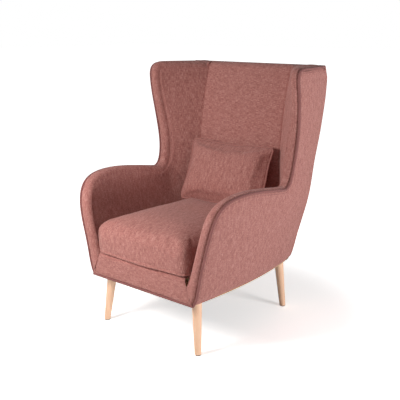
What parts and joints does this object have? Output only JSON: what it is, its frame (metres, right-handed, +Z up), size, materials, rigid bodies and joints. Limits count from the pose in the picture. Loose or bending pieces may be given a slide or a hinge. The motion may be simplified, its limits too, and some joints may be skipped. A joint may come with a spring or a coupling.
{
  "type": "upholstered armchair",
  "caption": "Wing armchair in slubbed rose fabric with piping, splayed round wooden legs, a loose box seat cushion and a loose lumbar pillow.",
  "frame": {"origin": "on the floor, at the middle of the chair's width and depth", "axes": "+Z up, the chair faces -Y, +X to the right as seen from in front"},
  "size_m": [0.7692, 0.7905, 1.0308],
  "materials": {
    "cover_fabric": "matte",
    "piping_fabric": "matte",
    "leg_wood": "satin",
    "frame_wood": "matte",
    "board_wood": "matte",
    "board_card": "matte",
    "foam": "matte",
    "deck_cloth": "matte",
    "dust_cloth": "matte",
    "webbing": "matte",
    "zip_tape": "matte",
    "zip_metal": "satin",
    "steel": "satin",
    "glide_plastic": "matte"
  },
  "bodies": {
    "chair_frame": {"back_board": "board_card", "back_post_left": "frame_wood", "back_post_right": "frame_wood", "back_webbing": "webbing", "corner_block_front_left": "frame_wood", "corner_block_front_right": "frame_wood", "corner_block_rear_left": "frame_wood", "corner_block_rear_right": "frame_wood", "crest_rail": "frame_wood", "dust_cover": "dust_cloth", "front_border_cover": "cover_fabric", "front_border_foam": "foam", "front_piping": "piping_fabric", "front_rail": "frame_wood", "glides": "glide_plastic", "hanger_bolts": "steel", "inside_arm_cover_left": "cover_fabric", "inside_arm_cover_right": "cover_fabric", "inside_back_cover": "cover_fabric", "inside_back_foam": "foam", "inside_wing_cover_left": "cover_fabric", "inside_wing_cover_right": "cover_fabric", "leg_front_left": "leg_wood", "leg_front_right": "leg_wood", "leg_plates": "steel", "leg_rear_left": "leg_wood", "leg_rear_right": "leg_wood", "lumbar_rail": "frame_wood", "outside_back_cover": "cover_fabric", "outside_side_cover_left": "cover_fabric", "outside_side_cover_right": "cover_fabric", "rear_rail": "frame_wood", "seat_deck_cover": "deck_cloth", "seat_deck_pad": "foam", "seat_webbing_across": "webbing", "seat_webbing_along": "webbing", "side_board_left": "board_wood", "side_board_right": "board_wood", "side_foam_left": "foam", "side_foam_right": "foam", "side_piping_left": "piping_fabric", "side_piping_right": "piping_fabric", "side_rail_left": "frame_wood", "side_rail_right": "frame_wood", "top_piping": "piping_fabric"},
    "seat_cushion": {"seat_cushion_cover": "cover_fabric", "seat_cushion_foam": "foam", "seat_zip": "zip_tape"},
    "seat_zip_slider": {"seat_zip_slider": "zip_metal"},
    "lumbar_pillow": {"lumbar_pillow_cover": "cover_fabric", "lumbar_pillow_fill": "foam", "lumbar_pillow_piping": "piping_fabric"}
  },
  "joints": [
    {"name": "seat_cushion_slide", "type": "slide", "parent": "chair_frame", "child": "seat_cushion", "axis": [0, -1, 0], "range_m": [0, 0.62]},
    {"name": "lumbar_pillow_lift", "type": "slide", "parent": "seat_cushion", "child": "lumbar_pillow", "axis": [0, 0, 1], "range_m": [0, 0.62]},
    {"name": "seat_zip_pull", "type": "slide", "parent": "seat_cushion", "child": "seat_zip_slider", "axis": [-1, 0, 0], "range_m": [0, 0.366]}
  ]
}
